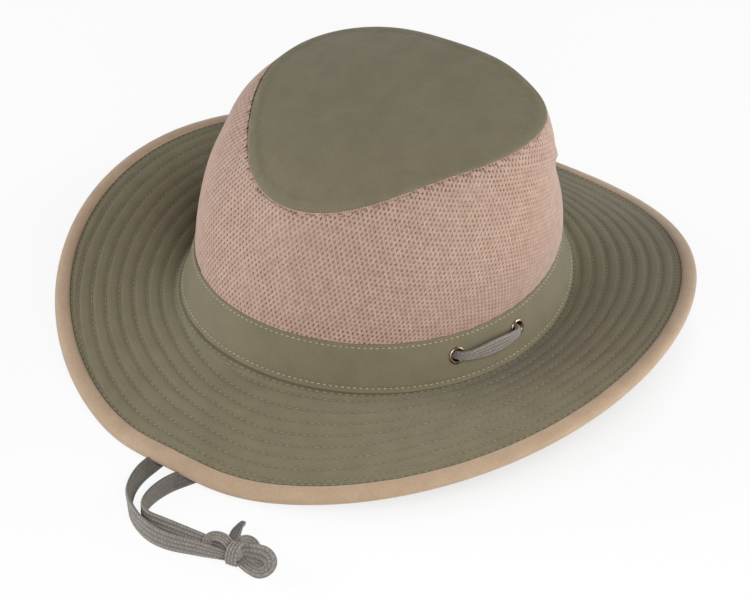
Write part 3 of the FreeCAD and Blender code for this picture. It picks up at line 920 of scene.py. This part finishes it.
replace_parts(drilled(bandCloth(), (2 * eyelets["hole"],) * 2), "hat_band")
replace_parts(drilled(bandLining(), (2 * eyelets["hole"],) * 2), "band_lining")
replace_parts(drilled(sweatband(), eyelets["buttonhole"]), "sweatband")
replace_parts(headSeamRoll(), "head_seam_roll")
print("band and sweatband made")


# Cord through the eyelets


def cordSpan(name, side):
    # out of the front eyelet, along the band in a bow, and in at the rear one
    stops = ((0, -3.2), (0, 3.4), (0.3, 4.8), (0.7, 4.8), (1, 3.4), (1, -3.2))
    front, rear = (math.radians(eyelets[name]) * side for name in ("frontTurn", "rearTurn"))
    points = []
    for share, off in stops:
        turn = front + (rear - front) * share
        points.append((wallPoint(turn, eyelets["height"]) + wallFacing(turn) * off) * mm)
    line = routeLine(name, points)
    frames, length = spacedFrames(line, (0, 0))
    upright = []
    for index, (place, across, normal) in enumerate(frames):
        heading = headingAt(frames, index).normalized()
        rise = (up - heading * up.dot(heading)).normalized()
        upright.append((place, rise, rise.cross(heading) * side))
    return braidPiece(name, upright, length, (0.55, 0.58, 0.62, 0.8, 0.95, 1, 0.95, 0.8, 0.62, 0.58, 0.55))


def cordBackRun():
    # lies in the channel behind the lining, from one rear eyelet round the back to the other
    inset = wall["sweatbandInset"] - 1.2
    half = math.radians(180 - eyelets["rearTurn"] + 3)
    count = round(330 / cord["step"] / 1.5)
    frames = []
    length = 0.0
    for index in range(count + 1):
        turn = math.pi + half * (2 * index / count - 1)
        place = wallPoint(turn, eyelets["height"], inset) * mm
        if frames:
            length += (place - frames[-1][0]).length
        frames.append((place, (up - outward(turn) * wallLean(turn)).normalized(), wallFacing(turn)))
    return braidPiece("cordBackRun", frames, length)


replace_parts(cordSpan("cordSpanLeft", 1), "cord_span_left")
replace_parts(cordSpan("cordSpanRight", -1), "cord_span_right")
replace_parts(cordBackRun(), "cord_back_run")


# Crown


knit = {"wale": 2.35, "course": 2.1, "easeSize": 12.5, "easeTurn": 43.0, "lowerRun": 572.0, "upperRun": 497.0,
        "slant": 80.0, "straightTurn": -9.0, "shear": 0.16, "shearTurn": 5.0,
        "bar": 0.76, "corner": 0.26, "crest": 0.5, "thickness": 0.42}

# soft folds and hollows in the mesh wall: turn, share of the height, their spreads, and how far out
folds = (
    (88, 0.9, 12, 0.06, 0.5), (128, 0.7, 14, 0.12, -0.9), (122, 0.52, 20, 0.16, -2.2),
    (130, 0.08, 26, 0.13, 0.8), (-17, 0.71, 7, 0.14, -1.6), (-6.7, 0.83, 7, 0.1, -1.2),
    (0, 0.8, 9, 0.14, 1.3), (12, 0.63, 9, 0.12, 1.0), (27.5, 0.79, 9, 0.12, -0.8), (48, 0.74, 12, 0.14, -0.9),
    (66, 0.5, 16, 0.2, 0.8), (-60, 0.6, 22, 0.2, 1.2), (-88, 0.84, 34, 0.13, 3.4), (-140, 0.5, 20, 0.2, 1.4),
    (160, 0.7, 16, 0.16, -1.4), (180, 0.45, 18, 0.2, 1.2))


# one sharper fold climbs forward over the back of the wearer's left side, with a hollow under it
ridge = {"fromTurn": 80, "toTurn": 140, "shares": (0.955, 0.935, 0.895, 0.81, 0.69, 0.56), "middle": 116,
         "reach": 24, "height": 1.2, "spread": 0.035, "hollow": 0.6, "hollowDrop": 0.1, "hollowSpread": 0.07}


def ridgePush(degrees, share):
    away = (degrees - ridge["middle"] + 180) % 360 - 180
    if abs(away) > 2.5 * ridge["reach"]:
        return 0
    fromCrest = share - along(ridge["shares"],
                              (degrees - ridge["fromTurn"]) / (ridge["toTurn"] - ridge["fromTurn"]))
    return bump(away, ridge["reach"]) * (
        ridge["height"] * bump(fromCrest, ridge["spread"])
        - ridge["hollow"] * bump(fromCrest + ridge["hollowDrop"], ridge["hollowSpread"]))


def foldedSide(turn, share, above=0.0):
    degrees = math.degrees(turn)
    push = above + ridgePush(degrees, share)
    for foldTurn, foldShare, turnSpread, shareSpread, size in folds:
        away = (degrees - foldTurn + 180) % 360 - 180
        if abs(away) < 3 * turnSpread:
            push += size * bump(away, turnSpread) * bump(share - foldShare, shareSpread)
    return sidePoint(turn, share) + outward(turn) * push


def wallRise(turn):
    # the length of mesh from the band up to the tip seam
    return lineLength([sidePoint(turn, share) for share in spread(0, 1, 8)])


wallRises = [wallRise(math.radians(degrees)) for degrees in spread(-180, 180, 90)]


def meshWall(name, lowTurn, highTurn):
    # knitted mesh, cut flat as a curved strip: a diamond lattice, each diamond with its hole
    bend = (knit["lowerRun"] - knit["upperRun"]) / (knit["slant"] * 2 * math.pi)
    lowerRadius = knit["lowerRun"] / (2 * math.pi * bend)
    tuck = crown["tuck"] / knit["slant"]

    def eased(degrees):
        # the mesh is stretched on the wearer's right and eased in on the left
        return knit["easeSize"] * math.cos(math.radians(degrees - knit["easeTurn"]))

    def sheared(degrees, rise):
        # and its upright rows lean back as they climb
        return rise * knit["shear"] * math.sin(math.radians(degrees - knit["shearTurn"]))

    def flat(degrees, share):
        rise = share * along(wallRises, degrees / 360 + 0.5)
        angle = math.radians(degrees - eased(degrees) - sheared(degrees, rise) - knit["straightTurn"]) * bend
        radius = lowerRadius - rise
        return radius * math.sin(angle), -radius * math.cos(angle)

    def onHat(place):
        cut = knit["straightTurn"] + math.degrees(math.atan2(place.x, -place.y)) / bend
        rise = lowerRadius - math.hypot(place.x, place.y)
        degrees = cut
        for _ in range(10):
            degrees = cut + eased(degrees) + sheared(degrees, rise)
        return degrees, rise / along(wallRises, degrees / 360 + 0.5)

    wale, course = knit["wale"], 2 * knit["course"]
    border = [flat(degrees, share) for degrees in spread(lowTurn, highTurn, 24) for share in (-tuck, 1)]
    left = math.floor(min(x for x, y in border) / wale) - 1
    right = math.ceil(max(x for x, y in border) / wale) + 1
    foot = math.floor(min(y for x, y in border) / course) - 1
    top = math.ceil(max(y for x, y in border) / course) + 1
    form = bmesh.new()
    form.loops.layers.uv.new("UVMap")
    bmesh.ops.create_grid(form, x_segments=right - left, y_segments=top - foot, size=0.5, calc_uvs=True)
    for vert in form.verts:
        vert.co = ((vert.co.x + 0.5) * (right - left) * wale + left * wale,
                   (vert.co.y + 0.5) * (top - foot) * course + foot * course, 0)
    centres = set(bmesh.ops.poke(form, faces=form.faces[:])["verts"])
    straight = [edge for edge in form.edges if not centres.intersection(edge.verts) and not edge.is_boundary]
    bmesh.ops.dissolve_edges(form, edges=straight, use_verts=False)

    def onCrest(place):
        # the diamonds' own corners, where the strands cross
        cells = place.x / wale * 2, place.y / course * 2
        return max(abs(cell - round(cell)) for cell in cells) < 0.02

    def outside(face):
        degrees, share = onHat(face.calc_center_median())
        return not (lowTurn <= degrees < highTurn and -tuck <= share < 1) or len(face.verts) < 4

    bmesh.ops.delete(form, geom=[face for face in form.faces if outside(face)], context="FACES")
    diamonds = form.faces[:]
    bmesh.ops.inset_individual(form, faces=diamonds, thickness=knit["bar"], use_even_offset=True)
    corners = [vert for vert in form.verts if not onCrest(vert.co)]
    bmesh.ops.bevel(form, geom=corners, offset=knit["corner"], affect="VERTICES", segments=1, profile=0.5,
                    material=-1)
    holes = [face for face in form.faces if len(face.verts) == 8]
    bmesh.ops.delete(form, geom=holes, context="FACES")
    print(name, len(diamonds), "diamonds,", len(holes), "holes")
    relief = form.verts.layers.float.new("relief")
    for vert in form.verts:
        # 1 on the strands' crossings and 0 round the holes: it lifts the crests, and the knit's colour takes
        # painted shade from it towards the holes
        vert[relief] = onCrest(vert.co)
        degrees, share = onHat(vert.co)
        degrees = min(max(degrees, -180), 180)
        share = min(max(share, -tuck), 1)
        crest = knit["crest"] * vert[relief]
        turn = math.radians(degrees)
        if share < 0:
            vert.co = wallPoint(turn, wall["height"] + share * knit["slant"], wall["cloth"] + 0.1) * mm
        else:
            vert.co = foldedSide(turn, share, crest) * mm
    return form


def meshPiece(name, lowTurn, highTurn):
    form = meshWall(name, lowTurn, highTurn)
    piece = finished(form, name, meshKnit)
    facing = sum((face.center.x * face.normal.x + face.center.y * face.normal.y) * face.area
                 for face in piece.data.polygons)
    if facing < 0:
        piece.data.flip_normals()
    cloth = piece.modifiers.new("cloth", "SOLIDIFY")
    cloth.thickness = knit["thickness"] * mm
    cloth.offset = -1
    return piece


meshRight = meshPiece("crownMeshRight", -180, 0)
meshLeft = meshPiece("crownMeshLeft", 0, 180)
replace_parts(meshLeft, "crown_mesh")
print("mesh made")


tipLook = {"crumple": 0.55, "crumpleSize": 17, "wrinkle": 0.25, "wrinkleSize": 6, "pinch": 0.35,
           "pinchSize": 3.5, "roll": 0.7, "rollReach": 0.955}
tipRoll = {"loopsPerWale": 1.3, "drop": 1.35, "inset": 0.05, "across": 0.5, "upright": 0.55}
backSeam = {"radius": 80, "tapeWidth": 10, "tapeFoot": -0.05, "underTip": 6.5, "gap": 0.15, "tape": 0.4,
            "stitchRow": 3.5}


def tipPanel():
    def pointAt(turn, row):
        face, reach = row
        place = tipPoint(turn, reach)
        if face == "under":
            return tipPoint(turn, reach, -tip["cloth"])
        crumple = (tipLook["crumple"] * noise.noise(place / tipLook["crumpleSize"])
                   + tipLook["wrinkle"] * noise.noise(place / tipLook["wrinkleSize"]))
        pinch = tipLook["pinch"] * noise.noise(place / tipLook["pinchSize"]) * smooth((reach - 0.75) / 0.2)
        roll = tipLook["roll"] * bump(reach - tipLook["rollReach"], 0.03)
        fade = smooth((1 - reach) / 0.04)
        return place + up * ((crumple + pinch) * fade + roll)

    return ringPiece("tipPanel", oliveCloth, 420, bothFaces("top", "under", 0, 1, 70, 8),
                     pointAt, (0.42, 0.08))


def tipSeamRoll():
    # the folded edge of the mesh, rolled tight along the tip seam, loops and all
    rows = spread(0, 2 * math.pi, 10)[:-1]
    loops = round(knit["upperRun"] / knit["wale"] * tipRoll["loopsPerWale"])

    def pointAt(turn, swing):
        knob = 0.9 + 0.16 * math.cos(loops * turn) + 0.12 * noise.noise(tipPoint(turn, 1) / 2.3)
        outwards = outward(turn)
        middle = tipPoint(turn, 1, -tipRoll["drop"]) - outwards * tipRoll["inset"]
        away = outwards * math.cos(swing) * tipRoll["across"] + up * math.sin(swing) * tipRoll["upright"]
        return middle + away * knob

    def paintedShadeAt(turn, swing):
        # painted shade: darker overall and between the loops, with tone that differs at random
        return 0.42 + 0.3 * math.cos(loops * turn) + 0.3 * noise.noise(tipPoint(turn, 1) / 1.7)

    return ringPiece("tipSeamRoll", meshKnit, loops * 8, rows, pointAt, (0.42, 0.006), paintedShadeAt)


def underTip(turn, drop, inset):
    rise = sidePoint(turn, 1).z - sidePoint(turn, 0).z
    return sidePoint(turn, 1 - drop / rise, inset)


def tipTape():
    rows = bothFaces(crown["cloth"] + 0.1, crown["cloth"] + 0.6, 0.6, 6, 5, 5)
    return ringPiece("tipSeamTape", seamCloth, 300, rows,
                     lambda turn, row: underTip(turn, row[1], row[0]), (0.41, 0.013))


def besideBackSeam(across):
    # the turn that lies this far beside the back seam
    return math.pi + across / backSeam["radius"]


def backTape():
    # an upright tape over the seam that closes the mesh at the back
    form = plainGrid(14, 40)
    foot = backSeam["tapeFoot"]
    top = 1 - backSeam["underTip"] / (sidePoint(math.pi, 1).z - sidePoint(math.pi, 0).z)
    for vert in form.verts:
        turn = besideBackSeam(vert.co.x * backSeam["tapeWidth"])
        share = foot + (top - foot) * (vert.co.y + 0.5)
        vert.co = (foldedSide(turn, share) - outward(turn) * (crown["cloth"] + backSeam["gap"])) * mm
    tape = finished(form, "backSeamTape", seamCloth, (0.01, 0.075))
    thickness = tape.modifiers.new("cloth", "SOLIDIFY")
    thickness.thickness = backSeam["tape"] * mm
    thickness.offset = 0
    return tape


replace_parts(tipPanel(), "crown_tip")
tipSeamRoll()
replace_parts(tipTape(), "tip_seam_tape")
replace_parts(backTape(), "back_seam_tape")
print("crown made")


# Stitching


# one stitch of thread, as it comes up, lies on the cloth and goes down: height and thickness shares
stitchShape = ((-2.2, 0.4), (-1.2, 0.7), (0.7, 1.0), (0.7, 1.0), (-1.2, 0.7))


def sew(form, places, pitch, width, rise):
    # a thread running over and under the cloth along a line of (point, normal) places
    step = pitch / len(stitchShape)
    rings = []
    run = 0.0
    for (before, normal), (after, nextNormal) in zip(places, places[1:]):
        length = (after - before).length
        if length > 3 * pitch:
            run = len(rings) * step
            continue
        while length and len(rings) * step <= run + length:
            heading = (after - before) / length
            rings.append((before.lerp(after, (len(rings) * step - run) / length), heading.cross(normal),
                          normal))
        run += length
    thread = bmesh.ops.create_grid(form, x_segments=len(rings) - 1, y_segments=5, size=0.5)["verts"]
    for vert in thread:
        index = round((vert.co.x + 0.5) * (len(rings) - 1))
        swing = 2 * math.pi * vert.co.y
        place, side, normal = rings[index]
        height, size = stitchShape[index % len(stitchShape)]
        size *= index not in (0, len(rings) - 1)
        vert.co = (place + side * math.cos(swing) * size * width / 2
                   + normal * rise * (height + size * math.sin(swing))) * mm


def stitchPiece(name, material, lines):
    form = bmesh.new()
    for line in lines:
        sew(form, *line)
    return finished(form, name, material)


def surfaceNormal(pointAt, turn, across):
    step = 0.002
    along = pointAt(turn + step, across) - pointAt(turn - step, across)
    athwart = pointAt(turn, across + 0.3) - pointAt(turn, across - 0.3)
    return along.cross(athwart).normalized()


def quiltLine(side):
    # the quilting thread on the brim's top, side 1, or underneath, side -1
    places = []
    for lap in quiltLaps:
        for turn, out, run in lap[:-1]:
            if 1.4 < out < clothEdge(turn) - quilt["edge"] - 0.6:
                normal = surfaceNormal(brimPoint, turn, out)
                if normal.z < 0:
                    normal = -normal
                places.append((brimFace(turn, out, side), normal * side))
    return places


def brimFace(turn, out, side):
    # where the thread lies on the brim's top, side 1, or underneath, side -1
    if side < 0:
        return brimPoint(turn, out, -brim["thickness"] - 0.12)
    return quiltedPoint(turn, out, 0.12)


def brimRow(across, side):
    return [(brimFace(turn, across(turn), side), up * side) for turn in spread(0, 2 * math.pi, 720)]


# pitch, width and rise of the thread in each row
bandRow = (bandLook["pitch"], 0.44, 0.22)
tipRow = (2.4, 0.4, 0.2)
tipRowShare = 1 - 2.6 / 75
sweatRow = (3.2, 0.6, 0.25)
backRow = (2.6, 0.5, 0.3)
thread = (quilt["stitch"], quilt["threadWidth"], quilt["threadRise"])
for name, side in (("brimStitchesTop", 1), ("brimStitchesUnder", -1)):
    stitchPiece(name, quiltThread, [
        (quiltLine(side), *thread), (brimRow(lambda turn: quilt["footRow"], side), *thread),
        (brimRow(lambda turn: clothEdge(turn) - quilt["edge"], side), *thread)])


def bandLine(heightAt):
    return [(wallPoint(turn, heightAt(turn), 0.1), wallFacing(turn)) for turn in spread(0, 2 * math.pi, 720)]


stitchPiece("bandStitches", bandThread, [
    (bandLine(lambda turn: bandFoot(turn) + bandLook["lowStitch"]), *bandRow),
    (bandLine(lambda turn: bandLook["highStitch"]), *bandRow)])
stitchPiece("tipStitches", oliveThread, [
    ([(foldedSide(turn, tipRowShare, 0.25), outward(turn)) for turn in spread(-math.pi, math.pi, 720)],
     *tipRow)])


def sweatLine(height):
    # along the inner face of the sweatband
    depth = wall["sweatbandInset"] + wall["sweatband"] - 0.25
    return [(wallPoint(turn, height, depth), -outward(turn)) for turn in spread(0, 2 * math.pi, 480)]


def backLine(across):
    # up the mesh beside the back seam
    turn = besideBackSeam(across)
    return [(foldedSide(turn - 2 * math.pi * (across > 0), share, 0.7), outward(turn))
            for share in spread(0.02, 0.97, 60)]


stitchPiece("sweatbandStitches", oliveThread, [
    (sweatLine(height - brim["thickness"]), *sweatRow)
    for height in (wall["sweatbandRow"], wall["sweatbandWidth"] - wall["sweatbandRow"])])
stitchPiece("backSeamStitches", oliveThread, [
    (backLine(backSeam["stitchRow"] * side), *backRow) for side in (-1, 1)])


def slotOutline(share):
    # a place on the buttonhole's edge and the way it faces, going round at an even pace
    length, width = eyelets["buttonhole"]
    half, radius = (length - width) / 2, width / 2
    run = share * (4 * half + 2 * math.pi * radius)
    for sign in (1, -1):
        if run < 2 * half:
            return Vector((sign * (run - half), sign * radius, 0)), Vector((0, sign, 0))
        run -= 2 * half
        if run < math.pi * radius or sign < 0:
            swing = math.pi / 2 - run / radius
            facing = Vector((math.cos(swing), math.sin(swing), 0)) * sign
            return Vector((sign * half, 0, 0)) + facing * radius, facing
        run -= math.pi * radius


def buttonholeEdge(name, side):
    # thread worked over the edge of the slot in the sweatband
    place, axis = eyeletFrame(eyelets["frontTurn"], side)
    across = axis.cross(up).normalized()
    upright = axis.cross(across)
    middle = place - axis * (wall["sweatbandInset"] + wall["sweatband"] / 2)

    def pointAt(turn, swing):
        edge, facing = slotOutline(turn / (2 * math.pi))
        stitch = 1 + 0.14 * math.cos(40 * turn)
        spot = edge + facing * (0.35 + 0.6 * math.cos(swing) * stitch)
        through = math.sin(swing) * (wall["sweatband"] / 2 + 0.25) * stitch
        return middle + across * spot.x + upright * spot.y + axis * through

    return ringPiece(name, oliveThread, 320, spread(0, 2 * math.pi, 12)[:-1], pointAt,
                     (0.03, 0.003))


buttonholeEdge("buttonholeEdgeLeft", 1)
buttonholeEdge("buttonholeEdgeRight", -1)
print("stitching made")


# Stage


stage = {"paper": 0.9, "world": 0.12,
         "lamps": (((1.17, 1.5, 0.62), 1.2, 30.0), ((-1.61, -1.01, 0.62), 1.2, 32.0),
                   ((0.48, -0.38, 0.43), 0.4, 3.4))}


def addFloor():
    # white paper that glows for camera rays; the glow fades straight under the hat, a painted shade there
    form = bmesh.new()
    bmesh.ops.create_grid(form, x_segments=1, y_segments=1, size=6)
    floor = meshObject(form, "floor")
    material = bpy.data.materials.new("floorPaper")
    material.use_nodes = True
    tree = material.node_tree
    shader = tree.nodes["Principled BSDF"]
    shader.inputs["Base Color"].default_value = (0.9, 0.9, 0.9, 1)
    shader.inputs["Roughness"].default_value = 1
    away = addNode(tree, "VectorMath", {0: addNode(tree, "TexCoord").outputs["Object"]})
    away.operation = "LENGTH"
    # painted shade: the glow drops from full to little under the hat
    clear = addNode(tree, "MapRange", {"Value": away.outputs["Value"]}, From_Min=0.1, From_Max=0.16,
                    To_Min=0.2, To_Max=stage["paper"])
    share = addNode(tree, "Math",
                    {0: addNode(tree, "LightPath").outputs["Is Camera Ray"], 1: clear.outputs["Result"]})
    share.operation = "MULTIPLY"
    glow = addNode(tree, "Emission")
    blend = addNode(tree, "MixShader", {"Fac": share.outputs["Value"], 1: shader.outputs["BSDF"],
                                        2: glow.outputs["Emission"]})
    tree.links.new(blend.outputs["Shader"], tree.nodes["Material Output"].inputs["Surface"])
    floor.data.materials.append(material)


def addWorld():
    world = bpy.data.worlds.new("studio")
    bpy.context.scene.world = world
    world.use_nodes = True
    tree = world.node_tree
    shown = tree.nodes["Background"]
    shown.inputs["Color"].default_value = (1, 1, 1, 1)
    strength = addNode(tree, "MapRange", {"Value": addNode(tree, "LightPath").outputs["Is Camera Ray"]},
                       To_Min=stage["world"], To_Max=1.0)
    tree.links.new(strength.outputs["Result"], shown.inputs["Strength"])


def addLamp(place, size, power):
    lamp = intoScene(bpy.data.objects.new("softbox", bpy.data.lights.new("softbox", "AREA")))
    lamp.data.size = size
    lamp.data.energy = power
    lamp.visible_camera = False
    lamp.location = place
    lamp.rotation_euler = (-Vector(place)).to_track_quat("-Z", "Y").to_euler()


addFloor()
addWorld()
for lamp in stage["lamps"]:
    addLamp(*lamp)
bpy.context.scene.view_settings.view_transform = "Standard"
print("stage ready")
